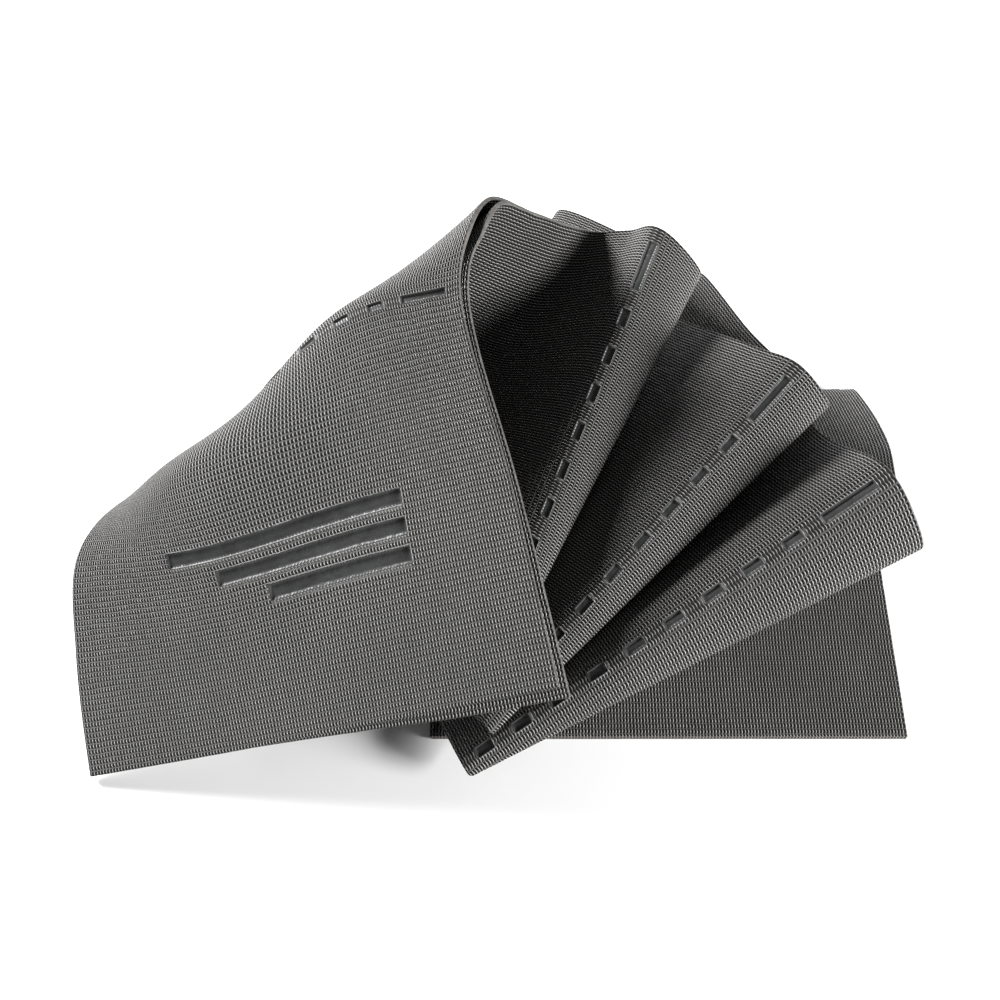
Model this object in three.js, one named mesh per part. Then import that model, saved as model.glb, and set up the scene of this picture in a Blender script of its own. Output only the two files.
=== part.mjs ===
// A foldable exercise mat: one foam sheet folded in half lengthwise, then pleated into eight
// panels and left fanned open. Millimetres, +Z up, floor at z = 0.
import * as THREE from 'three'

// ---- driving dimensions -------------------------------------------------------------------
const SHEET = 2.5 // thickness of the foam sheet
const LEAF_GAP = 0.4 // air between the two leaves of the folded sheet
const JOINT_GAP = 0.8 // air between neighbouring pieces
const CREASE_GAP = 0.5 // air on each side of a crease strip
const PANEL_L = 250 // crease to crease: eight panels make the 2000 mm length
const PANEL_W = 305 // half of the 610 mm width
const BENT_FOLD = 1 // the crease that the drape bends out of line
const BENT_GAP = 1.2 // air on each side of its strip
const SPINE_W = 4 // what the lengthwise fold takes of each panel's width
const CREASE_W = 8 // length of sheet in one crease strip
const DASH_W = 5 // a debossed dash, across the crease
const DASH_DEPTH = 0.8
const LONG_DASH = 35
const SHORT_DASH = 12
const DASH_PITCH = 27.5
const FIRST_DASH = 11 // free edge to the long dash
const LONG_DASH_GAP = 15 // long dash to the first short one
const LAST_DASH_MARGIN = 4 // what stays free between the last dash and the lengthwise fold
const WALL = 0.4 // width of a sloped pocket wall
const STRIPES = [[150, 50], [120, 32], [90, 14]] // length, height above the mark's foot
const STRIPE_H = 11
const MARK_AT = [75, 90] // the mark's corner: from the free edge, from the cut edge
const MARK_CLEAR = 5 // the panel's own stations keep this far off the mark
const PANELS = 8
const COLUMNS = { draped: 14, flat: 6 } // how many steps a leaf has across its width

// ---- where the folded sheet lies ----------------------------------------------------------
// Each line runs the whole length of the mat, from the top cut end to the bottom one. FOLDS are
// its points on the creases, BETWEEN the points that it passes inside each panel.
const FREE_FOLDS = [
  [35, -177, 86], [-23, 27, 205], [101, 96, 175], [70, 166, 40], [180, -5, 170],
  [142, 150, 56], [229, -75, 160], [255, 84, 8.2], [260, -177, 2.7],
]
const FREE_BETWEEN = [
  [[8, -76, 144]],
  [[-17, 50, 226], [-6, 72, 229], [20, 88, 199], [46, 106, 166], [68, 119, 145], [86, 114, 151]],
  [[126, 84, 151], [125, 93, 133], [88, 152, 100], [43, 196, 74]],
  [[118, 84, 98], [160, 16, 157]],
  [[199, -15, 147], [198, -4, 129], [188, 28, 114], [170, 78, 88]],
  [[178, 56, 86], [203, -18, 112]],
  [[249, -103, 130], [247, -92, 108], [259, 5, 62]],
  [[256, 60, 2.7], [258, -50, 2.7]],
]
const SPINE_FOLDS = [
  [-258, -203, 3], [-215, -5, 30], [-6, -151, 78.5], [-182, -17, 28], [-12, -185, 51],
  [-120, 10, 11], [-24, -202, 24.5], [-45, 72, 8.2], [-45, -177, 2.7],
]
const SPINE_BETWEEN = [
  [[-268, -135, 38], [-269, -80, 63], [-252, -40, 55]],
  [[-110, -80, 68]],
  [[-1, -157, 76], [-4, -150, 71.5], [-78, -96, 64.6], [-122, -64, 50]],
  [[-102, -96, 33], [-34, -163, 42.6]],
  [[-7, -191, 48], [-9, -184, 43.5], [-48, -114, 34.5], [-84, -56, 27]],
  [[-86, -76, 14], [-48, -152, 15.5]],
  [[-20, -207, 19.5], [-22, -199, 14], [-38, -48, 13]],
  [[-45, 48, 2.7], [-45, -50, 2.7]],
]
// The top two panels drape, so two more lines shape them, at a third and two thirds of the width.
const DRAPE_FOLDS = [
  [[-63, -184, 53], [-101, 26, 166]],
  [[-160, -194, 27], [-180, -4, 86]],
]
const DRAPE_BETWEEN = [
  [[[-80, -90, 112]], [[-104, 37, 159], [-70, 66, 118], [0, 52, 92]]],
  [[[-180, -110, 76], [-199, -41, 109]], [[-150, 0, 62], [-60, -14, 74]]],
]
const DRAPED = 2 // panels with the extra lines
// Radius of the loop at each fold that is pressed flat, at the free edge and at the spine.
const LOOPS = { 3: [9.5, 7], 5: [7.5, 5], 7: [5.5, 5.5] }
// How far the two leaves part near the free edge of the draped panels: all along it, more where
// the sheet turns over at APEX_L, and most in the top corner, where the plain leaf also slips out.
const PARTED = { edge: 1.8, apex: 3, corner: 6, width: 80, corner_l: 150, from: 330, to: 430 }
const APEX_L = 275
const APEX_REACH = 90
const SLIP = 9
const SLIP_REACH = 230
const SKEW = 3 // how far the plain leaf's free edge lies outside the other one's there
const SKEW_REACH = 150
const END_STEP = 3 // mm of sheet that set the direction past a cut edge
const LINE_STEPS = 40 // steps of one spline piece when its length is measured
const TANGENT_L = 1.5 // mm each way between the points that set the sheet's direction
const TANGENT_W = 2

const REST = LEAF_GAP / 2 + SHEET // height of the middle of the folded sheet where it rests
const ORIGIN = new THREE.Vector3(-4, -10, 0) // where the row's frame stands among these points

const vec = (p) => (p.isVector3 ? p : new THREE.Vector3(...p))
const mix = (a, b, t) => a.clone().lerp(b, t)

// The points of a lengthwise line, with a round loop put in at each fold that has one.
function lineThrough(folds, between, width, loops) {
  const points = [vec(folds[0])]
  const marks = [0]
  for (let k = 0; k < PANELS; k++) {
    points.push(...between[k].map(vec))
    const fold = vec(folds[k + 1])
    const radii = loops[k + 1]
    if (!radii) {
      marks.push(points.length)
      points.push(fold)
      continue
    }
    const r = radii[0] + (radii[1] - radii[0]) * width
    const back = points.at(-1).clone().sub(fold).normalize()
    const on = vec(between[k + 1][0]).clone().sub(fold).normalize()
    const inward = back.clone().add(on).normalize()
    const side = back.sub(on)
    side.addScaledVector(inward, -side.dot(inward)).normalize()
    points.push(fold.clone().addScaledVector(inward, r).addScaledVector(side, r))
    marks.push(points.length)
    points.push(fold)
    points.push(fold.clone().addScaledVector(inward, r).addScaledVector(side, -r))
  }
  return { points, marks }
}

// Centripetal spline through the points, one evenly stepped polyline per panel.
function panelLines({ points, marks }) {
  const n = points.length
  const d = points.slice(1).map((p, i) => Math.sqrt(p.distanceTo(points[i])))
  const chord = (i) => points[i + 1].clone().sub(points[i]).divideScalar(d[i])
  const slopes = points.map((p, i) => {
    if (i === 0 || i === n - 1) return null
    return chord(i - 1).multiplyScalar(d[i]).addScaledVector(chord(i), d[i - 1])
      .divideScalar(d[i - 1] + d[i])
  })
  slopes[0] = chord(0).multiplyScalar(1.5).addScaledVector(slopes[1], -0.5)
  slopes[n - 1] = chord(n - 2).multiplyScalar(1.5).addScaledVector(slopes[n - 2], -0.5)
  const at = (j, u) => {
    const [u2, u3] = [u * u, u * u * u]
    return points[j].clone().multiplyScalar(2 * u3 - 3 * u2 + 1)
      .addScaledVector(slopes[j], (u3 - 2 * u2 + u) * d[j])
      .addScaledVector(points[j + 1], 3 * u2 - 2 * u3)
      .addScaledVector(slopes[j + 1], (u3 - u2) * d[j])
  }
  return marks.slice(1).map((end, k) => {
    const start = marks[k]
    const dots = [points[start].clone()]
    const run = [0]
    for (let j = start; j < end; j++) {
      for (let i = 1; i <= LINE_STEPS; i++) {
        dots.push(at(j, i / LINE_STEPS))
        run.push(run.at(-1) + dots.at(-1).distanceTo(dots.at(-2)))
      }
    }
    return { dots, run }
  })
}

// The point at the share u of one panel's piece of a line.
function along({ dots, run }, u) {
  const s = Math.min(Math.max(u, 0), 1) * run.at(-1)
  let i = 1
  while (i < run.length - 1 && run[i] < s) i++
  return mix(dots[i - 1], dots[i], (s - run[i - 1]) / (run[i] - run[i - 1]))
}

// Across a draped panel: a smooth curve through its four lines, straight at both ends.
function across(g, w) {
  const slope = [
    g[1].clone().sub(g[0]).multiplyScalar(3),
    g[2].clone().sub(g[0]).multiplyScalar(1.5),
    g[3].clone().sub(g[1]).multiplyScalar(1.5),
    g[3].clone().sub(g[2]).multiplyScalar(3),
  ]
  const j = Math.min(Math.floor(w * 3), 2)
  const u = w * 3 - j
  const [u2, u3] = [u * u, u * u * u]
  return g[j].clone().multiplyScalar(2 * u3 - 3 * u2 + 1)
    .addScaledVector(slope[j], (u3 - 2 * u2 + u) / 3)
    .addScaledVector(g[j + 1], 3 * u2 - 2 * u3)
    .addScaledVector(slope[j + 1], (u3 - u2) / 3)
}

// The points of the plainly fanned panels at the share w of the width.
const fanFold = (k, w) => mix(vec(FREE_FOLDS[k]), vec(SPINE_FOLDS[k]), w)
const fanBetween = (k, w) =>
  FREE_BETWEEN[k].map((p, i) => mix(vec(p), vec(SPINE_BETWEEN[k][i]), w))

// The whole line at the share w, with the draped panels' points given.
function lineAt(w, folds, between) {
  const all = FREE_FOLDS.map((_, k) => (k < DRAPED ? folds[k] : fanFold(k, w)))
  const inner = FREE_BETWEEN.map((_, k) => (k < DRAPED ? between[k] : fanBetween(k, w)))
  return panelLines(lineThrough(all, inner, w, LOOPS))
}

const drapeLines = [
  lineAt(0, FREE_FOLDS, FREE_BETWEEN),
  lineAt(1 / 3, DRAPE_FOLDS[0], DRAPE_BETWEEN[0]),
  lineAt(2 / 3, DRAPE_FOLDS[1], DRAPE_BETWEEN[1]),
  lineAt(1, SPINE_FOLDS, SPINE_BETWEEN),
]
const draped = (k, u, w) => across(drapeLines.map((line) => along(line[k], u)), w)

const fanLines = new Map()
function fanLine(w) {
  const key = w.toFixed(6)
  if (!fanLines.has(key)) {
    const folds = [draped(0, 0, w), draped(1, 0, w)]
    const between = [[draped(0, 0.5, w)], [0.2, 0.4, 0.6, 0.8].map((u) => draped(1, u, w))]
    fanLines.set(key, lineAt(w, folds, between))
  }
  return fanLines.get(key)
}

// The middle of the doubled sheet: l is mm from the top cut end, w mm from the free edges. Past
// the cut edges it runs straight on.
function middle(l, w) {
  if (w < 0) return middle(l, 0).lerp(middle(l, END_STEP), w / END_STEP)
  if (l < 0) return middle(0, w).lerp(middle(END_STEP, w), l / END_STEP)
  const k = Math.min(Math.floor(l / PANEL_L), PANELS - 1)
  const u = l / PANEL_L - k
  const point = k < DRAPED ? draped(k, u, w / PANEL_W) : along(fanLine(w / PANEL_W)[k], u)
  point.z = Math.max(point.z, REST)
  return point
}

// A point of the sheet, h mm off the middle towards the face that carries the mark.
function place(l, w, h) {
  const l0 = Math.max(l - TANGENT_L, 0)
  const l1 = Math.min(Math.max(l, 0) + TANGENT_L, PANELS * PANEL_L)
  const w0 = Math.max(w - TANGENT_W, 0)
  const w1 = Math.min(Math.max(w, 0) + TANGENT_W, PANEL_W)
  const lengthwise = middle(l1, w).sub(middle(l0, w))
  const crosswise = middle(l, w1).sub(middle(l, w0))
  const outward = lengthwise.cross(crosswise).normalize()
  return middle(l, w).addScaledVector(outward, h).sub(ORIGIN)
}

const ease = (x) => {
  const t = Math.min(Math.max(x, 0), 1)
  return t * t * (3 - 2 * t)
}
// 1 where the leaves lie apart, 0 from the second panel's far end on.
const loose = (l) => ease((PARTED.to - l) / (PARTED.to - PARTED.from))
// How far the plain leaf hangs away from the other one.
function parting(l, w) {
  const edge = PARTED.edge * loose(l)
  const apex = PARTED.apex * ease(1 - Math.abs(l - APEX_L) / APEX_REACH)
  const corner = PARTED.corner * ease(1 - l / PARTED.corner_l)
  return (edge + apex + corner) * ease(1 - w / PARTED.width)
}

// How far it slips out past the other leaf's cut end, having the shorter way over the drape.
const slip = (l, w) => SLIP * ease(1 - l / PARTED.corner_l) * ease(1 - w / SLIP_REACH)
// How far its free edge lies outside the other leaf's.
const skew = (l, w) => SKEW * loose(l) * ease(1 - w / SKEW_REACH)

// A point of one leaf: side is 1 on the leaf that carries the mark and -1 on the plain one.
const onLeaf = (side, l, w, h) =>
  side > 0 ? place(l, w, h) : place(l - slip(l, w), w - skew(l, w), -h - parting(l, w))

// ---- solids -------------------------------------------------------------------------------
const mat = new THREE.Group()
mat.name = 'fanned_exercise_mat'
const FOAM = { color: 0x4a4a4c, roughness: 0.75, metalness: 0 }

function addSolid(name, points, faces, tint = 1) {
  const geometry = new THREE.BufferGeometry()
  geometry.setAttribute('position', new THREE.Float32BufferAttribute(points.flat(), 3))
  geometry.setIndex(faces.flat())
  geometry.computeVertexNormals()
  const material = new THREE.MeshStandardMaterial(FOAM)
  material.color.multiplyScalar(tint)
  material.name = name
  const mesh = new THREE.Mesh(geometry, material)
  mesh.name = name
  mat.add(mesh)
}

// A cap for a profile that runs out along one face and back along the other.
function stripCap(n) {
  const pairs = steps(0, n / 2 - 2, n / 2 - 2)
  return pairs.flatMap((i) => [[i, i + 1, n - 1 - i], [i + 1, n - 2 - i, n - 1 - i]])
}

// Rings of points, one after another, skinned and capped into a closed solid.
function loft(name, rings, tint, cap) {
  const n = rings[0].length
  const { flat2d } = rings[0]
  const clockwise = THREE.ShapeUtils.isClockWise(flat2d)
  const points = rings.flat().map((p) => p.toArray())
  const faces = []
  for (let i = 0; i + 1 < rings.length; i++) {
    for (let j = 0; j < n; j++) {
      const [a, b] = [i * n + j, i * n + ((j + 1) % n)]
      faces.push([a, b, b + n], [a, b + n, a + n])
    }
  }
  const end = (rings.length - 1) * n
  for (const [a, b, c] of cap ?? THREE.ShapeUtils.triangulateShape(flat2d, [])) {
    const turned = THREE.ShapeUtils.isClockWise([flat2d[a], flat2d[b], flat2d[c]]) !== clockwise
    const [q, r] = turned ? [c, b] : [b, c]
    faces.push([a, r, q], [end + a, end + q, end + r])
  }
  const volume = faces.reduce((sum, [a, b, c]) => {
    const [p, q, r] = [a, b, c].map((i) => new THREE.Vector3(...points[i]))
    return sum + p.dot(q.cross(r))
  }, 0)
  addSolid(name, points, volume < 0 ? faces.map(([a, b, c]) => [a, c, b]) : faces, tint)
}

// A ring of (along, height) points, set on the sheet by a placing function.
function ring(profile, put) {
  const out = profile.map(([a, h]) => put(a, h))
  out.flat2d = profile.map(([a, h]) => new THREE.Vector2(a, h))
  return out
}

const steps = (from, to, n) => Array.from({ length: n + 1 }, (_, i) => from + ((to - from) * i) / n)
const tidy = (list) => [...new Set(list.map((x) => +x.toFixed(3)))].sort((a, b) => a - b)
  .filter((x, i, all) => i === 0 || x - all[i - 1] > 0.05)

const LEAF_END = PANEL_W - SPINE_W
const CLOSE = LEAF_GAP / 2
const FAR = CLOSE + SHEET
const LEAF_W = LEAF_END - JOINT_GAP

// Where a panel's stations fall, as shares of its length: closest where the sheet leaves a bend.
function stationShares(k) {
  if (k === 0) return steps(0, 1, 11)
  if (k === 1) return steps(0, 1, 18).map((u) => u ** 1.5)
  if (k === PANELS - 1) return [0, 0.04, 0.1, 0.25, 0.5, 0.75, 1]
  return [0, 0.03, 0.06, 0.09, 0.13, 0.19, 0.3, 0.45, 0.6, 0.74, 0.86, 0.93, 0.97, 1]
}

function panelStations(k) {
  const margin = (fold) => CREASE_W / 2 + (fold === BENT_FOLD ? BENT_GAP : CREASE_GAP) / 2
  const from = k * PANEL_L + (k === 0 ? 0 : margin(k))
  const to = (k + 1) * PANEL_L - (k === PANELS - 1 ? 0 : margin(k + 1))
  return stationShares(k).map((u) => from + (to - from) * u)
}

// How far x is into a pocket from a to b: 0 outside, 1 on its floor, sloped over WALL.
const within = (x, a, b) => Math.min(Math.max(Math.min(x - a, b - x) / WALL, 0), 1)
const stripe = (i) => {
  const [length, foot] = STRIPES[i]
  return { w0: MARK_AT[0], w1: MARK_AT[0] + length, l0: MARK_AT[1] + foot - STRIPE_H,
    l1: MARK_AT[1] + foot }
}
const markDepth = (l, w) => Math.max(...STRIPES.map((_, i) => {
  const s = stripe(i)
  return Math.min(within(l, s.l0, s.l1), within(w, s.w0, s.w1)) * DASH_DEPTH
}))

function panelLeaf(k, side, name) {
  let ls = panelStations(k)
  let ws = steps(0, LEAF_W, k < DRAPED ? COLUMNS.draped : COLUMNS.flat)
  if (k === 0) {
    const marks = STRIPES.map((_, i) => stripe(i))
    ls = ls.filter((l) => l < MARK_AT[1] - MARK_CLEAR || l > marks[0].l1 + MARK_CLEAR)
    ls = tidy([...ls, ...marks.flatMap((s) => [s.l0, s.l0 + WALL, s.l1 - WALL, s.l1])])
    ws = tidy([...ws, marks[0].w0, marks[0].w0 + WALL,
      ...marks.flatMap((s) => [s.w1 - WALL, s.w1])])
  }
  const rings = ls.map((l) => {
    const outer = ws.map((w) => [w, FAR - (k === 0 && side > 0 ? markDepth(l, w) : 0)])
    const inner = ws.map((w) => [w, CLOSE])
    return ring([...outer, ...inner.reverse()], (w, h) => onLeaf(side, l, w, h))
  })
  loft(name, rings, side > 0 ? 1 : 0.8, stripCap(2 * ws.length))
}

// The strip that turns one leaf into the other along the lengthwise fold.
function panelSpine(k, name) {
  const from = LEAF_W + JOINT_GAP
  const centre = PANEL_W - FAR
  const arc = steps(-90, 90, 6).map((deg) => {
    const a = THREE.MathUtils.degToRad(deg)
    return [centre + FAR * Math.cos(a), FAR * Math.sin(a)]
  })
  const inside = steps(90, -90, 2).map((deg) => {
    const a = THREE.MathUtils.degToRad(deg)
    return [centre + CLOSE * Math.cos(a), CLOSE * Math.sin(a)]
  })
  const profile = [[from, -FAR], ...arc, [from, FAR], [from, CLOSE], ...inside, [from, -CLOSE]]
  const kept = profile.filter(([a, h], i) => {
    const [pa, ph] = profile[(i + profile.length - 1) % profile.length]
    return Math.hypot(a - pa, h - ph) > 0.05
  })
  const rings = panelStations(k).map((l) => ring(kept, (w, h) => place(l, w, h)))
  loft(name, rings, 0.9)
}

const DASHES = [[FIRST_DASH, FIRST_DASH + LONG_DASH]]
const lastDash = LEAF_W - LAST_DASH_MARGIN - SHORT_DASH
for (let w = DASHES[0][1] + LONG_DASH_GAP; w < lastDash; w += DASH_PITCH) {
  DASHES.push([w, w + SHORT_DASH])
}

// One leaf's piece of a crease, with the dashes pressed into its outward face.
function creaseStrip(fold, side, dashed, name) {
  const l0 = fold * PANEL_L
  const half = CREASE_W / 2 - CREASE_GAP / 2
  const lip = DASH_W / 2
  const topAt = dashed ? [-half, -lip, -lip + WALL, lip - WALL, lip, half] : [-half, 0, half]
  const ws = dashed
    ? tidy([0, LEAF_W, ...DASHES.flatMap(([a, b]) => [a, a + WALL, b - WALL, b])])
    : steps(0, LEAF_W, fold < DRAPED ? COLUMNS.draped : COLUMNS.flat)
  const rings = ws.map((w) => {
    const deep = Math.max(...DASHES.map(([a, b]) => within(w, a, b)))
    const outer = topAt.map((l) => {
      const down = dashed ? Math.min(deep, within(l, -lip, lip)) * DASH_DEPTH : 0
      return [l, FAR - down]
    })
    const inner = [half, 0, -half].map((l) => [l, CLOSE])
    return ring([...outer, ...inner], (l, h) => onLeaf(side, l0 + l, w, h))
  })
  loft(name, rings, side > 0 ? 0.95 : 0.75)
}

for (let k = 0; k < PANELS; k++) {
  const label = `panel_${k + 1}`
  panelLeaf(k, 1, `${label}_mark_leaf`)
  panelLeaf(k, -1, `${label}_plain_leaf`)
  panelSpine(k, `${label}_spine_fold`)
}
// The dashes are pressed into the outside of each bend, so they change faces from fold to fold.
for (let fold = 1; fold < PANELS; fold++) {
  const out = fold % 2 === 1 ? 1 : -1
  creaseStrip(fold, out, true, `crease_${fold}_outer_strip`)
  creaseStrip(fold, -out, false, `crease_${fold}_inner_strip`)
}

export default mat
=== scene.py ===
"""A foldable exercise mat: one foam sheet folded in half lengthwise, pleated into eight panels and
left fanned open. Sheet sizes are in millimetres, as on the mat laid flat; objects are in metres."""
import math

import bpy
import numpy as np
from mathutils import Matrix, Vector


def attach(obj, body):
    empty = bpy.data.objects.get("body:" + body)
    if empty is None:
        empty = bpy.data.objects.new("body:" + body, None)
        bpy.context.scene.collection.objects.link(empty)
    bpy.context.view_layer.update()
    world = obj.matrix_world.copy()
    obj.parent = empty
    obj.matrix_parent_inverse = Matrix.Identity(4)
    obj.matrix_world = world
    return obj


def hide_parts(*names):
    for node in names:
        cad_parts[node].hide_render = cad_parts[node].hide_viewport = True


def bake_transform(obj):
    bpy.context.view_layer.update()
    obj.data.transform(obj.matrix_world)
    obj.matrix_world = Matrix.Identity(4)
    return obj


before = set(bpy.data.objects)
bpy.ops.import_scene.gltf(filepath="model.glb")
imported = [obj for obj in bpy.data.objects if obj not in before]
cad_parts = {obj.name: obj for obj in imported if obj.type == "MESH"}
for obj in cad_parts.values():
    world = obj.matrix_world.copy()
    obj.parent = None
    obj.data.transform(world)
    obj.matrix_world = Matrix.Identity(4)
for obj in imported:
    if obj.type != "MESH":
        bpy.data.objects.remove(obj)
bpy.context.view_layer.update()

# ---- the sheet, as part.mjs has it ------------------------------------------------------------
SHEET = 2.5  # thickness of the foam sheet
LEAF_GAP = 0.4  # air between the two leaves
PANEL_L = 250.0  # crease to crease
PANEL_W = 305.0  # free edge to spine
PANELS = 8
DASH_W = 5.0
DASH_DEPTH = 0.8
LONG_DASH = 35.0
LONG_DASH_GAP = 15.0  # from the long dash to the first short one
SHORT_DASH = 12.0
DASH_PITCH = 27.5  # short dash to short dash
FIRST_DASH = 11.0  # from the free edge to the long dash
LAST_DASH_END = 296.0
STRIPES = [(150, 50), (120, 32), (90, 14)]  # length, height above the mark's foot
STRIPE_H = 11
MARK_AT = (75, 90)  # the mark's corner: from the free edge, and from the top end
ORIGIN = np.array([-4.0, -10.0, 0.0])  # taken off every point below

# The middle of the doubled sheet, as x, y and z. Each FOLDS list has a point at the top end, one at
# each crease and one at the bottom end. Each BETWEEN list has the points in between, panel by panel.
FREE_FOLDS = [
    (35, -177, 86), (-23, 27, 205), (101, 96, 175), (70, 166, 40), (180, -5, 170),
    (142, 150, 56), (229, -75, 160), (255, 84, 8.2), (260, -177, 2.7),
]
FREE_BETWEEN = [
    [(8, -76, 144)],
    [(-17, 50, 226), (-6, 72, 229), (20, 88, 199), (46, 106, 166), (68, 119, 145), (86, 114, 151)],
    [(126, 84, 151), (125, 93, 133), (88, 152, 100), (43, 196, 74)],
    [(118, 84, 98), (160, 16, 157)],
    [(199, -15, 147), (198, -4, 129), (188, 28, 114), (170, 78, 88)],
    [(178, 56, 86), (203, -18, 112)],
    [(249, -103, 130), (247, -92, 108), (259, 5, 62)],
    [(256, 60, 2.7), (258, -50, 2.7)],
]
SPINE_FOLDS = [
    (-258, -203, 3), (-215, -5, 30), (-6, -151, 78.5), (-182, -17, 28), (-12, -185, 51),
    (-120, 10, 11), (-24, -202, 24.5), (-45, 72, 8.2), (-45, -177, 2.7),
]
SPINE_BETWEEN = [
    [(-268, -135, 38), (-269, -80, 63), (-252, -40, 55)],
    [(-110, -80, 68)],
    [(-1, -157, 76), (-4, -150, 71.5), (-78, -96, 64.6), (-122, -64, 50)],
    [(-102, -96, 33), (-34, -163, 42.6)],
    [(-7, -191, 48), (-9, -184, 43.5), (-48, -114, 34.5), (-84, -56, 27)],
    [(-86, -76, 14), (-48, -152, 15.5)],
    [(-20, -207, 19.5), (-22, -199, 14), (-38, -48, 13)],
    [(-45, 48, 2.7), (-45, -50, 2.7)],
]
# the same for the lines a third and two thirds of the way across the draped panels
DRAPE_FOLDS = [
    [(-63, -184, 53), (-101, 26, 166)],
    [(-160, -194, 27), (-180, -4, 86)],
]
DRAPE_BETWEEN = [
    [[(-80, -90, 112)], [(-104, 37, 159), (-70, 66, 118), (0, 52, 92)]],
    [[(-180, -110, 76), (-199, -41, 109)], [(-150, 0, 62), (-60, -14, 74)]],
]
DRAPED = 2  # the first panels drape; the others run straight from free edge to spine
LOOPS = {3: (9.5, 7), 5: (7.5, 5), 7: (5.5, 5.5)}  # crease: radius at the free edge, at the spine
# how far the leaves part at the free edge, over the drape's top and at the top corner, and how far
# from the free edge, from the top end and along the mat that reaches
PARTED = {"edge": 1.8, "apex": 3, "corner": 6, "width": 80, "corner_l": 150,
          "from": 330, "to": 430}
APEX_L = 275  # the drape's top
APEX_REACH = 90
SLIP = 9  # the plain leaf slips out past the other one at the top corner
SLIP_REACH = 230
SKEW = 3  # and its free edge lies outside the other one's
SKEW_REACH = 150
END_STEP = 3.0  # the stretch beside a cut edge whose slope is carried on past it
LINE_STEPS = 40  # dots from one point of a spline to the next
TANGENT_L = 1.5  # how far each way the surface's slope is taken, along the mat
TANGENT_W = 2.0  # and across it

CLOSE = LEAF_GAP / 2  # from the middle to the inner face of a leaf
FAR = CLOSE + SHEET  # and to its outer face
REST = FAR  # height of the middle where the mat lies on the floor
GRID_L = 0.5  # spacing of the worked-out middle surface along the mat
GRID_W = 1.0  # and across it

# ---- the relief and the meshes ------------------------------------------------------------------
RIB = 2.06  # rib to rib across the mat
ROW = 3.5  # row to row along it
RIM = 0.35  # height of the pushed-up lip round a pocket
RIM_W = 0.6
BAND = 3.6  # half width of the band that a crease's dashes lie in, where the ribs have no bars
BAND_FADE = 0.8  # width over which it runs into the weave
POCKET_REACH = 4.0  # a pocket's relief is worked out this far round it
WALL = 0.45  # width of a sloped pocket wall
CORNER = 0.7  # corner radius of a pocket
LIP_SMOOTH = 0.3  # how far onto its lip a pocket's smooth surface reaches
BEVEL = 0.35  # rounding of a cut edge
BEVEL_MID = BEVEL * 0.3  # how far its middle point lies from each of the two faces
SPINE_TURN = 78  # degrees from level, at the first and last point of the spine's turn
SPINE_POINTS = 9  # points of that turn
WIDTH_STEP = 3.2  # grid lines, across the mat
LENGTH_STEP = 3.0  # along it
CREASE_STEP = 1.2  # and along it near a crease
CREASE_REACH = 18.0  # as far as this from it
EDGE_LINES = (-0.6, 0.0, 0.45)  # and beside each pocket edge
SAME_LINE = 0.04  # lines nearer to each other than this are one
SEAMS = [0, 172, 375, 625, 875, 1125, 1375, 1625, 1835, 2000]  # where the pieces meet
SEAM_STEP = 0.3  # a narrow row beside each seam, so that shading runs on across it

# ---- the weave, with heights as shares of a rib's ------------------------------------------------
RIB_WAVE = 0.09  # sideways wave of a rib, as a share of the rib pitch
RIB_POWER = 1.35  # how narrow the ribs are
BAR_POWER = 3.0  # how narrow the bars are
BAR_HEIGHT = 0.76
BEAD = 0.1  # half the rise and fall of a rib from row to row
BAND_HEIGHT = 0.3  # level of the dashes' band between its ribs
GRAIN = 0.16  # fine unevenness on top
WEAVE_DEPTH = 0.0011  # metres from pit to rib
WORLD_LIGHT = 0.17


# ---- where the folded sheet lies ----------------------------------------------------------------
def unit(v):
    return v / np.linalg.norm(v)


def mix(a, b, t):
    return np.array(a, float) * (1 - t) + np.array(b, float) * t


def line_through(folds, between, width):
    """The points of a lengthwise line, with a round loop put in at each fold that has one."""
    points = [np.array(folds[0], float)]
    marks = [0]
    for k in range(PANELS):
        points += [np.array(p, float) for p in between[k]]
        fold = np.array(folds[k + 1], float)
        if k + 1 not in LOOPS:
            marks.append(len(points))
            points.append(fold)
            continue
        start, end = LOOPS[k + 1]
        r = start + (end - start) * width
        back = unit(points[-1] - fold)
        on = unit(np.array(between[k + 1][0], float) - fold)
        inward = unit(back + on)
        side = back - on
        side = unit(side - inward * (side @ inward))
        points.append(fold + inward * r + side * r)
        marks.append(len(points))
        points.append(fold)
        points.append(fold + inward * r - side * r)
    return np.array(points), marks


def panel_lines(points, marks):
    """Centripetal spline through the points, one dense polyline with its run per panel."""
    d = np.sqrt(np.linalg.norm(np.diff(points, axis=0), axis=1))
    chord = np.diff(points, axis=0) / d[:, None]
    slopes = np.empty_like(points)
    slopes[1:-1] = (chord[:-1] * d[1:, None] + chord[1:] * d[:-1, None]) / (d[:-1] + d[1:])[:, None]
    slopes[0] = chord[0] * 1.5 - slopes[1] * 0.5
    slopes[-1] = chord[-1] * 1.5 - slopes[-2] * 0.5
    u = (np.arange(LINE_STEPS) / LINE_STEPS)[None, :, None]
    a, b = points[:-1, None], points[1:, None]
    sa, sb = (slopes[:-1] * d[:, None])[:, None], (slopes[1:] * d[:, None])[:, None]
    dots = (a * (2 * u**3 - 3 * u**2 + 1) + sa * (u**3 - 2 * u**2 + u)
            + b * (3 * u**2 - 2 * u**3) + sb * (u**3 - u**2)).reshape(-1, 3)
    dots = np.vstack([dots, points[-1]])
    lines = []
    for start, end in zip(marks[:-1], marks[1:]):
        part = dots[start * LINE_STEPS:end * LINE_STEPS + 1]
        run = np.concatenate([[0], np.cumsum(np.linalg.norm(np.diff(part, axis=0), axis=1))])
        lines.append((part, run / run[-1]))
    return lines


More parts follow.
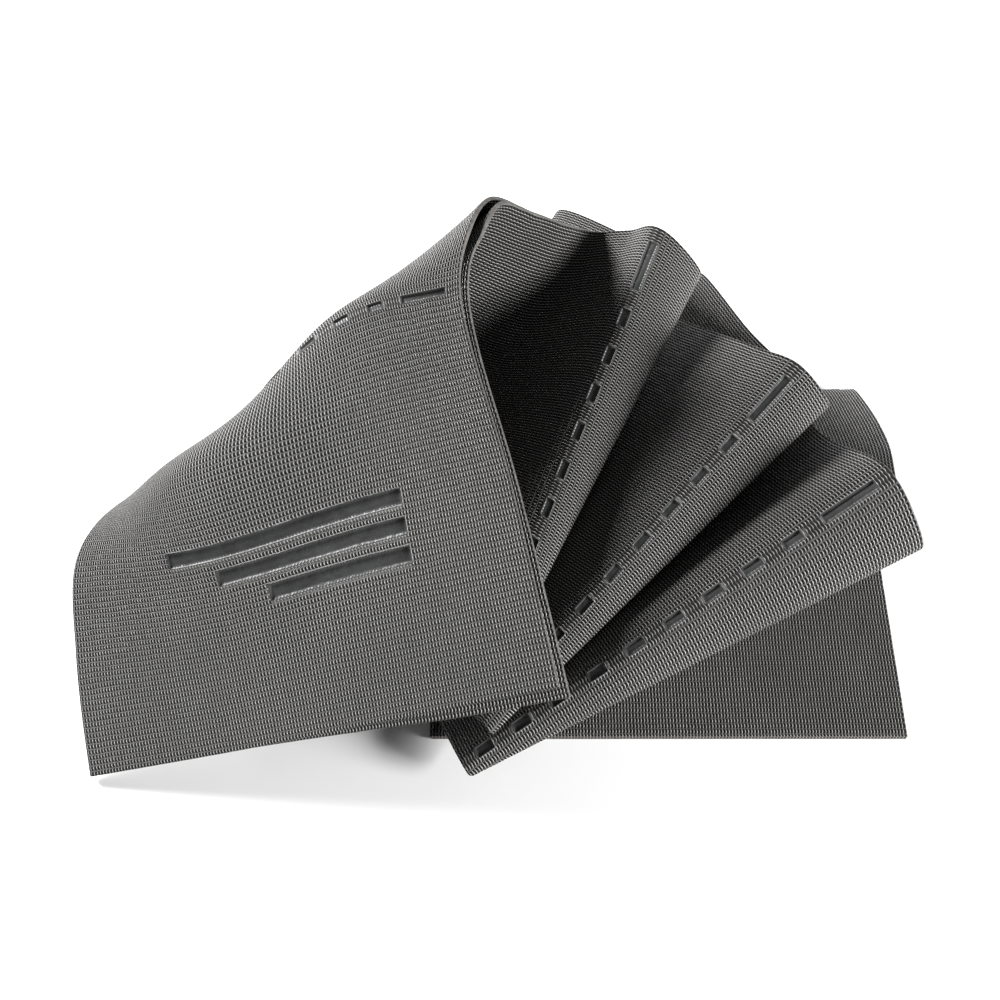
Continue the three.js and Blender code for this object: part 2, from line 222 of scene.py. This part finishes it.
def along(line, u):
    """Points at the shares u of one panel's piece of a line."""
    dots, run = line
    return np.stack([np.interp(u, run, dots[:, i]) for i in range(3)], axis=-1)


def across(g, w):
    """Across a draped panel: a smooth curve through its four lines. g is 4 points or rows of them."""
    slope = [(g[1] - g[0]) * 3, (g[2] - g[0]) * 1.5, (g[3] - g[1]) * 1.5, (g[3] - g[2]) * 3]
    j = min(int(w * 3), 2)
    u = w * 3 - j
    return (g[j] * (2 * u**3 - 3 * u**2 + 1) + slope[j] * ((u**3 - 2 * u**2 + u) / 3)
            + g[j + 1] * (3 * u**2 - 2 * u**3) + slope[j + 1] * ((u**3 - u**2) / 3))


def line_at(w, folds, between):
    """The lengthwise line at share w of the width, panel by panel. The draped panels' points are
    given, and the others lie straight between the free edge's and the spine's."""
    every = [folds[k] if k < DRAPED else mix(FREE_FOLDS[k], SPINE_FOLDS[k], w)
             for k in range(PANELS + 1)]
    inner = [between[k] if k < DRAPED else
             [mix(p, q, w) for p, q in zip(FREE_BETWEEN[k], SPINE_BETWEEN[k])]
             for k in range(PANELS)]
    return panel_lines(*line_through(every, inner, w))


def middle_surface():
    """The middle of the doubled sheet on an even grid: rows along the mat, columns across it."""
    ls = np.arange(0, PANELS * PANEL_L + GRID_L / 2, GRID_L)
    ws = np.arange(0, PANEL_W + GRID_W / 2, GRID_W)
    panel = np.minimum((ls // PANEL_L).astype(int), PANELS - 1)
    share = ls / PANEL_L - panel
    drape = [
        line_at(0, FREE_FOLDS, FREE_BETWEEN),
        line_at(1 / 3, DRAPE_FOLDS[0], DRAPE_BETWEEN[0]),
        line_at(2 / 3, DRAPE_FOLDS[1], DRAPE_BETWEEN[1]),
        line_at(1, SPINE_FOLDS, SPINE_BETWEEN),
    ]

    def draped(k, u, w):
        return across([along(line[k], u) for line in drape], w)

    surface = np.empty((len(ls), len(ws), 3))
    for j, width in enumerate(ws):
        w = width / PANEL_W
        folds = [draped(0, 0, w), draped(1, 0, w)]
        between = [[draped(0, 0.5, w)], [draped(1, u, w) for u in (0.2, 0.4, 0.6, 0.8)]]
        line = line_at(w, folds, between)
        for k in range(PANELS):
            rows = panel == k
            u = share[rows]
            surface[rows, j] = draped(k, u, w) if k < DRAPED else along(line[k], u)
    surface[..., 2] = np.maximum(surface[..., 2], REST)
    return surface - ORIGIN


MIDDLE = middle_surface()


def middle(l, w):
    """The middle surface between its grid points, running straight on past the cut edges."""
    beyond_l, beyond_w = np.minimum(l, 0)[..., None], np.minimum(w, 0)[..., None]
    if (beyond_l < 0).any() or (beyond_w < 0).any():
        l, w = np.maximum(l, 0), np.maximum(w, 0)
        base = middle(l, w)
        return (base + (middle(l + END_STEP, w) - base) * beyond_l / END_STEP
                + (middle(l, w + END_STEP) - base) * beyond_w / END_STEP)
    y = np.clip(l / GRID_L, 0, MIDDLE.shape[0] - 1.001)
    x = np.clip(w / GRID_W, 0, MIDDLE.shape[1] - 1.001)
    i, j = y.astype(int), x.astype(int)
    fy, fx = (y - i)[..., None], (x - j)[..., None]
    low = MIDDLE[i, j] * (1 - fx) + MIDDLE[i, j + 1] * fx
    high = MIDDLE[i + 1, j] * (1 - fx) + MIDDLE[i + 1, j + 1] * fx
    return low * (1 - fy) + high * fy


def ease(x):
    t = np.clip(x, 0, 1)
    return t * t * (3 - 2 * t)


def loose(l):
    """1 where the leaves lie apart, 0 from the second panel's far end on."""
    return ease((PARTED["to"] - l) / (PARTED["to"] - PARTED["from"]))


def parting(l, w):
    """How far the plain leaf hangs away from the other one, near the free edge of the drape."""
    edge = PARTED["edge"] * loose(l)
    apex = PARTED["apex"] * ease(1 - np.abs(l - APEX_L) / APEX_REACH)
    corner = PARTED["corner"] * ease(1 - l / PARTED["corner_l"])
    return (edge + apex + corner) * ease(1 - w / PARTED["width"])


def slip(l, w):
    """How far it slips out past the other leaf's cut end."""
    return SLIP * ease(1 - l / PARTED["corner_l"]) * ease(1 - w / SLIP_REACH)


def skew(l, w):
    """How far its free edge lies outside the other leaf's."""
    return SKEW * loose(l) * ease(1 - w / SKEW_REACH)


def place(l, w, h):
    """Points of the sheet in metres; h is mm off the middle, towards the face with the mark."""
    plain = h < 0
    h = np.where(plain, h - parting(l, w), h)
    l, w = np.where(plain, l - slip(l, w), l), np.where(plain, w - skew(l, w), w)
    on_l, on_w = np.maximum(l, 0), np.maximum(w, 0)
    lengthwise = middle(on_l + TANGENT_L, w) - middle(np.maximum(on_l - TANGENT_L, 0), w)
    crosswise = middle(l, on_w + TANGENT_W) - middle(l, np.maximum(on_w - TANGENT_W, 0))
    outward = np.cross(lengthwise, crosswise)
    outward /= np.linalg.norm(outward, axis=-1, keepdims=True)
    return (middle(l, w) + outward * h[..., None]) / 1000


# ---- pockets pressed into the faces --------------------------------------------------------------
def dashes(fold):
    """(l, w, half length, half width) of each dash of one crease."""
    out = [(FIRST_DASH, LONG_DASH)]
    w = FIRST_DASH + LONG_DASH + LONG_DASH_GAP
    while w + SHORT_DASH < LAST_DASH_END:
        out.append((w, SHORT_DASH))
        w += DASH_PITCH
    return [(fold * PANEL_L, w + size / 2, DASH_W / 2, size / 2) for w, size in out]


def stripes():
    """The same four numbers for each stripe of the mark."""
    w0, l0 = MARK_AT
    return [(l0 + foot - STRIPE_H / 2, w0 + length / 2, STRIPE_H / 2, length / 2)
            for length, foot in STRIPES]


def outside_folds(side):
    """The creases that the mark face (1) or the plain face (-1) is on the outside of."""
    return range(1, PANELS, 2) if side == 1 else range(2, PANELS, 2)


def pockets(side):
    """The pockets of the mark face (1) or of the plain face (-1): each is on its bend's outside."""
    own = [dash for fold in outside_folds(side) for dash in dashes(fold)]
    return own + (stripes() if side == 1 else [])


def pressed(l, w, side):
    """Three maps: height of the relief, 1 on the smooth floors of pockets, 1 on their bands."""
    relief = np.zeros_like(l)
    floor = np.zeros_like(l)
    band = np.zeros_like(l)
    for fold in outside_folds(side):
        off = np.abs(l - fold * PANEL_L)
        band = np.maximum(band, ease((BAND + BAND_FADE / 2 - off) / BAND_FADE))
    for pl, pw, half_l, half_w in pockets(side):
        near = (np.abs(l - pl) < half_l + POCKET_REACH) & (np.abs(w - pw) < half_w + POCKET_REACH)
        if not near.any():
            continue
        a = np.abs(l[near] - pl) - half_l + CORNER
        b = np.abs(w[near] - pw) - half_w + CORNER
        d = np.hypot(np.maximum(a, 0), np.maximum(b, 0)) + np.minimum(np.maximum(a, b), 0) - CORNER
        lip = RIM * np.exp(-((d / RIM_W) ** 2)) * (d > -WALL)
        relief[near] += lip - (DASH_DEPTH + RIM) * ease(-d / WALL)
        floor[near] = np.maximum(floor[near], ease(0.5 + (LIP_SMOOTH - d) / WALL))
    return relief, floor, band


# ---- meshes ----------------------------------------------------------------------------------------
def merged(*lists):
    """The grid lines of several lists in order, with those that all but fall together as one."""
    lines = np.unique(np.round(np.concatenate([np.atleast_1d(one) for one in lists]), 3)).tolist()
    kept = [lines[0]]
    for at in lines[1:]:
        if at - kept[-1] > SAME_LINE:
            kept.append(at)
    return np.array(kept)


def around(edges):
    """Grid lines close by each pocket edge: (position, direction pointing out of the pocket)."""
    return [at + out * off for at, out in edges for off in EDGE_LINES]


def width_lines(marked):
    """Grid lines across one leaf, from the free edge to the start of the spine's turn."""
    spine = PANEL_W - FAR
    edges = [(w + s * half, s) for _, w, _, half in dashes(1) for s in (-1, 1)]
    if marked:
        edges += [(w + s * half, s) for _, w, _, half in stripes() for s in (-1, 1)]
    lines = merged(np.arange(BEVEL, spine, WIDTH_STEP), around(edges), [spine])
    return lines[lines <= spine]


def length_lines(start, end):
    """Grid lines along one piece, close together round its crease."""
    fine = []
    for fold in range(1, PANELS):
        crease = fold * PANEL_L
        if start < crease < end:
            edges = [(crease + s * DASH_W / 2, s) for s in (-1, 1)]
            stop = crease + CREASE_REACH + CREASE_STEP / 2
            fine += list(np.arange(crease - CREASE_REACH, stop, CREASE_STEP)) + around(edges)
    if start == 0:
        edges = [(l + s * half, s) for l, _, half, _ in stripes() for s in (-1, 1)]
        fine += around(edges)
    fine += [start + SEAM_STEP, end - SEAM_STEP]
    lines = merged(np.arange(start, end, LENGTH_STEP), fine, [end])
    return lines[(lines >= start) & (lines <= end)]


def section(marked):
    """The closed section of the doubled sheet: (w, h, face), mark face first, with how many points
    one leaf and the spine's turn have. face is 0 woven, 1 between the leaves, 2 on cut edges."""
    ws = width_lines(marked)
    spine = PANEL_W - FAR
    turn = np.radians(np.linspace(SPINE_TURN, -SPINE_TURN, SPINE_POINTS))
    cut = [(BEVEL_MID, BEVEL_MID), (0, BEVEL)]
    points = [(w, FAR, 0) for w in ws]
    points += [(spine + FAR * math.cos(a), FAR * math.sin(a), 0) for a in turn]
    points += [(w, -FAR, 0) for w in ws[::-1]]
    points += [(w, -FAR + h, 2) for w, h in cut] + [(w, -CLOSE - h, 2) for w, h in cut[::-1]]
    points += [(w, -CLOSE, 1) for w in ws] + [(spine + CLOSE, 0, 1)]
    points += [(w, CLOSE, 1) for w in ws[::-1]]
    points += [(w, CLOSE + h, 2) for w, h in cut] + [(w, FAR - h, 2) for w, h in cut[::-1]]
    return np.array(points), len(ws), len(turn)


def cap_faces(n_w, n_turn, base):
    """Quads that close one end of a piece, between the faces of each leaf and round the spine."""
    plain = n_w + n_turn  # first point of the plain face
    inner = plain + n_w + 4  # first point inside, at the plain leaf's free edge
    tip = inner + n_w  # the inside of the spine
    faces = []
    for i in range(n_w - 1):
        faces.append((i, i + 1, tip + n_w - i - 1, tip + n_w - i))
        faces.append((plain + i, plain + i + 1, inner + n_w - 2 - i, inner + n_w - 1 - i))
    for i in range(n_turn + 1):
        faces.append((n_w - 1 + i, n_w + i, tip))
    faces.append((n_w - 1, tip, tip + 1))
    faces.append((plain, inner + n_w - 1, tip))
    free = tip + n_w  # mark leaf's inner face at the free edge
    faces.append((0, free, *range(free + 1, free + 5)))
    last = plain + n_w - 1
    faces.append((last, *range(last + 1, last + 6)))
    return [tuple(base + i for i in f) for f in faces]


def piece_rows(start, end):
    """The rows of a piece, as (l, how much each leaf is thinned), with the mat's cut ends rounded."""
    rows = [(l, 0.0) for l in length_lines(start, end)]
    last = PANELS * PANEL_L
    if start == 0:
        rows = [(0.0, BEVEL), (BEVEL_MID, BEVEL_MID)] + [row for row in rows if row[0] >= BEVEL]
    if end == last:
        rows = [row for row in rows if row[0] <= last - BEVEL]
        rows += [(last - BEVEL_MID, BEVEL_MID), (last, BEVEL)]
    return np.array(rows)


def piece_faces(points, n_w, n_turn, n):
    """The faces of a piece of n rows, their materials (1 where cut) and how many are in its caps."""
    m = len(points)
    faces = [(i * m + j, i * m + (j + 1) % m, (i + 1) * m + (j + 1) % m, (i + 1) * m + j)
             for i in range(n - 1) for j in range(m)]
    edge = (points[:, 2] == 2) | (np.roll(points[:, 2], -1) == 2)
    kinds = np.tile(edge.astype(np.int32), n - 1)
    caps = cap_faces(n_w, n_turn, 0)
    caps += [face[::-1] for face in cap_faces(n_w, n_turn, (n - 1) * m)]
    return faces + caps, np.concatenate([kinds, np.ones(len(caps), np.int32)]), len(caps)


def strip_piece(name, start, end):
    """One length of the doubled sheet as a closed mesh, with its sheet coordinates as a UV map."""
    points, n_w, n_turn = section(start == 0)
    rows = piece_rows(start, end)
    n, m = len(rows), len(points)
    l, thin = np.repeat(rows[:, :1], m, axis=1), np.repeat(rows[:, 1:], m, axis=1)
    w, h = np.repeat(points[None, :, 0], n, axis=0), np.repeat(points[None, :, 1], n, axis=0)
    outer = np.abs(h) > (FAR + CLOSE) / 2
    h = np.where(outer, h - np.sign(h) * thin, h + np.sign(h) * thin)
    floor, band = np.zeros_like(h), np.zeros_like(h)
    for side in (1, -1):
        columns = np.flatnonzero((points[:, 2] == 0) & (points[:, 1] * side > FAR - 0.01))
        relief, floor[:, columns], band[:, columns] = pressed(l[:, columns], w[:, columns], side)
        h[:, columns] += side * relief
    faces, kinds, caps = piece_faces(points, n_w, n_turn, n)
    mesh = bpy.data.meshes.new(name)
    mesh.from_pydata((np.stack([l, w, h], axis=-1).reshape(-1, 3) / 1000).tolist(), [], faces)
    mesh.update()
    piece = bpy.data.objects.new(name, mesh)
    bpy.context.scene.collection.objects.link(piece)
    mesh.polygons.foreach_set("material_index", kinds)
    mesh.polygons.foreach_set("use_smooth", np.arange(len(faces)) < len(faces) - caps)
    across_sheet = np.where(points[:, 1] < 0, 2 * PANEL_W - points[:, 0], points[:, 0])
    add_maps(mesh, np.repeat(across_sheet[None, :], n, axis=0), l, {"floor": floor, "band": band})
    return piece, (l, w, h)


def add_maps(mesh, across_sheet, along_sheet, masks):
    """Gives a mesh its place on the flat sheet as a UV map, in metres, and its masks by name."""
    uv = np.stack([across_sheet, along_sheet], axis=-1).reshape(-1, 2) / 1000
    corner = np.empty(len(mesh.loops), np.int32)
    mesh.loops.foreach_get("vertex_index", corner)
    layer = mesh.uv_layers.new(name="sheet")
    layer.data.foreach_set("uv", uv[corner].astype(np.float32).ravel())
    for label, values in masks.items():
        mask = mesh.attributes.new(label, "FLOAT", "POINT")
        mask.data.foreach_set("value", values.astype(np.float32).ravel())


def lay(piece, where):
    """Moves a piece from the flat sheet to where the folded one lies."""
    l, w, h = where
    piece.data.vertices.foreach_set("co", place(l, w, h).astype(np.float32).ravel())
    piece.data.update()


def nodes_of(fold):
    """The CAD nodes that the piece over one crease stands for; 0 is the top end."""
    if fold == 0:
        return [f"panel_1_{part}" for part in ("mark_leaf", "plain_leaf", "spine_fold")]
    names = [f"crease_{fold}_outer_strip", f"crease_{fold}_inner_strip"]
    if fold < PANELS - 1:
        names += [f"panel_{fold + 1}_{part}" for part in ("mark_leaf", "plain_leaf", "spine_fold")]
    return names


def end_nodes():
    """The CAD nodes that the bottom end stands for."""
    return [f"panel_{PANELS}_{part}" for part in ("mark_leaf", "plain_leaf", "spine_fold")]


# ---- materials -------------------------------------------------------------------------------------
class Graph:
    """Short ways to add shader nodes and join them up."""

    def __init__(self, name):
        self.material = bpy.data.materials.new(name)
        self.material.use_nodes = True
        self.tree = self.material.node_tree
        self.shader = self.tree.nodes["Principled BSDF"]

    def node(self, kind, **settings):
        node = self.tree.nodes.new(kind)
        for key, value in settings.items():
            setattr(node, key, value)
        return node

    def plug(self, value, socket):
        if hasattr(value, "is_output"):
            self.tree.links.new(value, socket)
        else:
            socket.default_value = value

    def math(self, operation, *values):
        node = self.node("ShaderNodeMath", operation=operation)
        for value, socket in zip(values, node.inputs):
            self.plug(value, socket)
        return node.outputs[0]

    def noise(self, vector, scale, detail=2.0):
        node = self.node("ShaderNodeTexNoise")
        self.plug(vector, node.inputs["Vector"])
        node.inputs["Scale"].default_value = scale
        node.inputs["Detail"].default_value = detail
        return node.outputs["Fac"]

    def ramp(self, value, stops):
        node = self.node("ShaderNodeValToRGB")
        self.plug(value, node.inputs["Fac"])
        elements = node.color_ramp.elements
        while len(elements) < len(stops):
            elements.new(0.5)
        for element, (at, colour) in zip(elements, stops):
            element.position = at
            element.color = (*colour, 1)
        return node.outputs["Color"]

    def mix(self, factor, a, b, blend="MIX"):
        node = self.node("ShaderNodeMix", data_type="RGBA", blend_type=blend)
        self.plug(factor, node.inputs["Factor"])
        self.plug(a, node.inputs["A"])
        self.plug(b, node.inputs["B"])
        return node.outputs["Result"]

    def bump(self, height, distance, normal=None):
        node = self.node("ShaderNodeBump")
        node.inputs["Distance"].default_value = distance
        self.plug(height, node.inputs["Height"])
        if normal is not None:
            self.plug(normal, node.inputs["Normal"])
        return node.outputs["Normal"]


def grey(value, warm=0.0):
    return (value * (1 + warm), value, value * (1 - warm))


def weave_material():
    """Embossed PVC weave: wavy ribs along the mat, lower bars across it and pits between, with
    painted shade in the pits and painted highlights on the rib tops.
    """
    g = Graph("pvc_weave")
    on_sheet = g.node("ShaderNodeUVMap", uv_map="sheet").outputs["UV"]
    split = g.node("ShaderNodeSeparateXYZ")
    g.plug(on_sheet, split.inputs[0])
    wobble = g.math("MULTIPLY", g.math("SUBTRACT", g.noise(on_sheet, 60), 0.5), 0.5)
    u = g.math("ADD", g.math("MULTIPLY", split.outputs["X"], 1000 / RIB), wobble)
    v = g.math("ADD", g.math("MULTIPLY", split.outputs["Y"], 1000 / ROW), wobble)
    turn_v = g.math("MULTIPLY", v, 2 * math.pi)
    wave = g.math("MULTIPLY", g.math("COSINE", turn_v), RIB_WAVE)
    turn_u = g.math("MULTIPLY", g.math("ADD", u, wave), 2 * math.pi)
    rib = g.math("POWER", g.math("MULTIPLY_ADD", g.math("COSINE", turn_u), 0.5, 0.5), RIB_POWER)
    bar = g.math("MULTIPLY_ADD", g.math("COSINE", turn_v), 0.5, 0.5)
    bar = g.math("MULTIPLY", g.math("POWER", bar, BAR_POWER), BAR_HEIGHT)
    beads = g.math("MULTIPLY_ADD", g.math("COSINE", turn_v), -BEAD, 1 - BEAD)
    floor = g.node("ShaderNodeAttribute", attribute_name="floor").outputs["Fac"]
    band = g.node("ShaderNodeAttribute", attribute_name="band").outputs["Fac"]
    bar = g.math("MULTIPLY", bar, g.math("SUBTRACT", 1.0, band))
    ground = g.math("MAXIMUM", bar, g.math("MULTIPLY", band, BAND_HEIGHT))
    height = g.math("SMOOTH_MAX", g.math("MULTIPLY", rib, beads), ground, 0.15)
    fine = g.noise(on_sheet, 2600, 3)
    height = g.math("MULTIPLY_ADD", g.math("SUBTRACT", fine, 0.5), GRAIN, height)
    # painted light: the colour follows the weave's height. It is near black in the pits as painted
    # shade and pale on the rib tops as painted highlight, around the PVC's own dark grey
    woven = g.ramp(height, [(0.45, grey(0.001)), (0.6, grey(0.008)), (0.76, grey(0.08, 0.03)),
                            (0.95, grey(0.48, 0.03))])
    smooth = g.ramp(g.noise(on_sheet, 90, 4), [(0.3, grey(0.035)), (0.7, grey(0.06, -0.02))])
    # painted shade: darkens the colour to a tenth on the walls of every pocket and stripe, a dark
    # ring all round each
    wall_shade = g.ramp(floor, [(0.1, grey(1.0)), (0.4, grey(0.1)), (0.7, grey(0.1)), (0.95, grey(1.0))])
    colour = g.mix(1.0, g.mix(floor, woven, smooth), wall_shade, "MULTIPLY")
    # painted highlight: a pale grey (0.3) band on the lip round every pocket and stripe
    rim_highlight = g.ramp(floor, [(0.0, grey(0.0)), (0.14, grey(1.0)), (0.32, grey(0.0))])
    colour = g.mix(rim_highlight, colour, (0.3, 0.3, 0.29, 1))
    patches = g.ramp(g.noise(on_sheet, 9, 3), [(0.3, grey(0.72)), (0.7, grey(1.0))])
    colour = g.mix(1.0, colour, patches, "MULTIPLY")
    g.plug(colour, g.shader.inputs["Base Color"])
    rough = g.math("MULTIPLY_ADD", fine, 0.25, 0.2)
    shine = g.math("ADD", rough, g.math("MAXIMUM", g.math("MULTIPLY_ADD", height, -0.9, 0.75), 0.0))
    g.plug(shine, g.shader.inputs["Roughness"])
    g.shader.inputs["Specular IOR Level"].default_value = 0.36
    rise = g.math("MULTIPLY", height, g.math("SUBTRACT", 1.0, floor))
    dents = g.math("MULTIPLY", g.noise(on_sheet, 260, 3), g.math("MULTIPLY", floor, 0.5))
    g.plug(g.bump(g.math("ADD", rise, dents), WEAVE_DEPTH), g.shader.inputs["Normal"])
    return g.material


def edge_material():
    """The cut edge of the foam: paler, matt, with fine pores."""
    g = Graph("cut_foam")
    spot = g.node("ShaderNodeTexCoord").outputs["Object"]
    tone = g.ramp(g.noise(spot, 300, 3), [(0.3, grey(0.06, 0.06)), (0.7, grey(0.11, 0.07))])
    pores = g.ramp(g.noise(spot, 2400, 2), [(0.35, grey(0.35)), (0.5, grey(1.0))])
    g.plug(g.mix(0.7, tone, pores, "MULTIPLY"), g.shader.inputs["Base Color"])
    g.plug(g.math("MULTIPLY_ADD", g.noise(spot, 900), 0.2, 0.72), g.shader.inputs["Roughness"])
    g.plug(g.bump(g.noise(spot, 2400, 2), 0.00015), g.shader.inputs["Normal"])
    return g.material


# ---- the mat ---------------------------------------------------------------------------------------
def build_mat():
    foam = weave_material()
    cut = edge_material()
    last = len(SEAMS) - 2
    ends = {0: "sheet_top_end", last: "sheet_bottom_end"}
    for i in range(len(SEAMS) - 1):
        start, end = SEAMS[i], SEAMS[i + 1]
        name = ends.get(i, f"sheet_over_crease_{i}")
        piece, where = strip_piece(name, start, end)
        piece.data.materials.append(foam)
        piece.data.materials.append(cut)
        if 0 < i < last:
            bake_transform(piece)
            lay(piece, where)
        else:
            lay(piece, where)
            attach(piece, "panel_1" if i == 0 else f"panel_{PANELS}")
        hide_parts(*(nodes_of(i) if i < last else end_nodes()))


# ---- floor, light and camera -----------------------------------------------------------------------
def build_stage():
    bpy.ops.mesh.primitive_plane_add(size=12, location=(0, 0, -0.0003))
    floor = bpy.context.object
    floor.name = "studio_floor"
    g = Graph("studio_floor")
    spot = g.node("ShaderNodeTexCoord").outputs["Object"]
    g.plug(g.ramp(g.noise(spot, 4), [(0.3, grey(0.86)), (0.7, grey(0.88))]),
           g.shader.inputs["Base Color"])
    g.shader.inputs["Roughness"].default_value = 0.9
    floor.data.materials.append(g.material)
    world = bpy.data.worlds.new("studio")
    bpy.context.scene.world = world
    world.use_nodes = True
    world.node_tree.nodes["Background"].inputs["Color"].default_value = (1, 1, 1, 1)
    world.node_tree.nodes["Background"].inputs["Strength"].default_value = WORLD_LIGHT


def area_light(name, position, target, size, power):
    """A softbox of size metres and power watts that faces its target."""
    lamp = bpy.data.lights.new(name, "AREA")
    lamp.shape = "RECTANGLE"
    lamp.size, lamp.size_y = size
    lamp.energy = power
    light = bpy.data.objects.new(name, lamp)
    light.location = position
    light.rotation_euler = (Vector(target) - Vector(position)).to_track_quat("-Z", "Y").to_euler()
    bpy.context.scene.collection.objects.link(light)


def build_lights():
    area_light("softbox_left", (-1.65, 1.1, 1.15), (-0.1, 0, 0.1), (0.8, 0.8), 155)
    area_light("softbox_right", (1.7, -0.75, 0.7), (0.1, 0, 0.05), (0.6, 0.6), 92)


def build_camera():
    """Looks down at the mat at 60 degrees from a little over a metre away."""
    distance = 1.0496
    tilt = math.radians(60)
    target = Vector(-ORIGIN / 1000)
    lens = bpy.data.cameras.new("camera")
    lens.lens = 54
    lens.sensor_width = 36
    camera = bpy.data.objects.new("camera", lens)
    camera.location = target + Vector((0, -distance * math.cos(tilt), distance * math.sin(tilt)))
    camera.rotation_euler = (target - camera.location).to_track_quat("-Z", "Y").to_euler()
    bpy.context.scene.collection.objects.link(camera)
    bpy.context.scene.camera = camera


build_mat()
build_stage()
build_lights()
build_camera()
bpy.context.scene.view_settings.view_transform = "Standard"
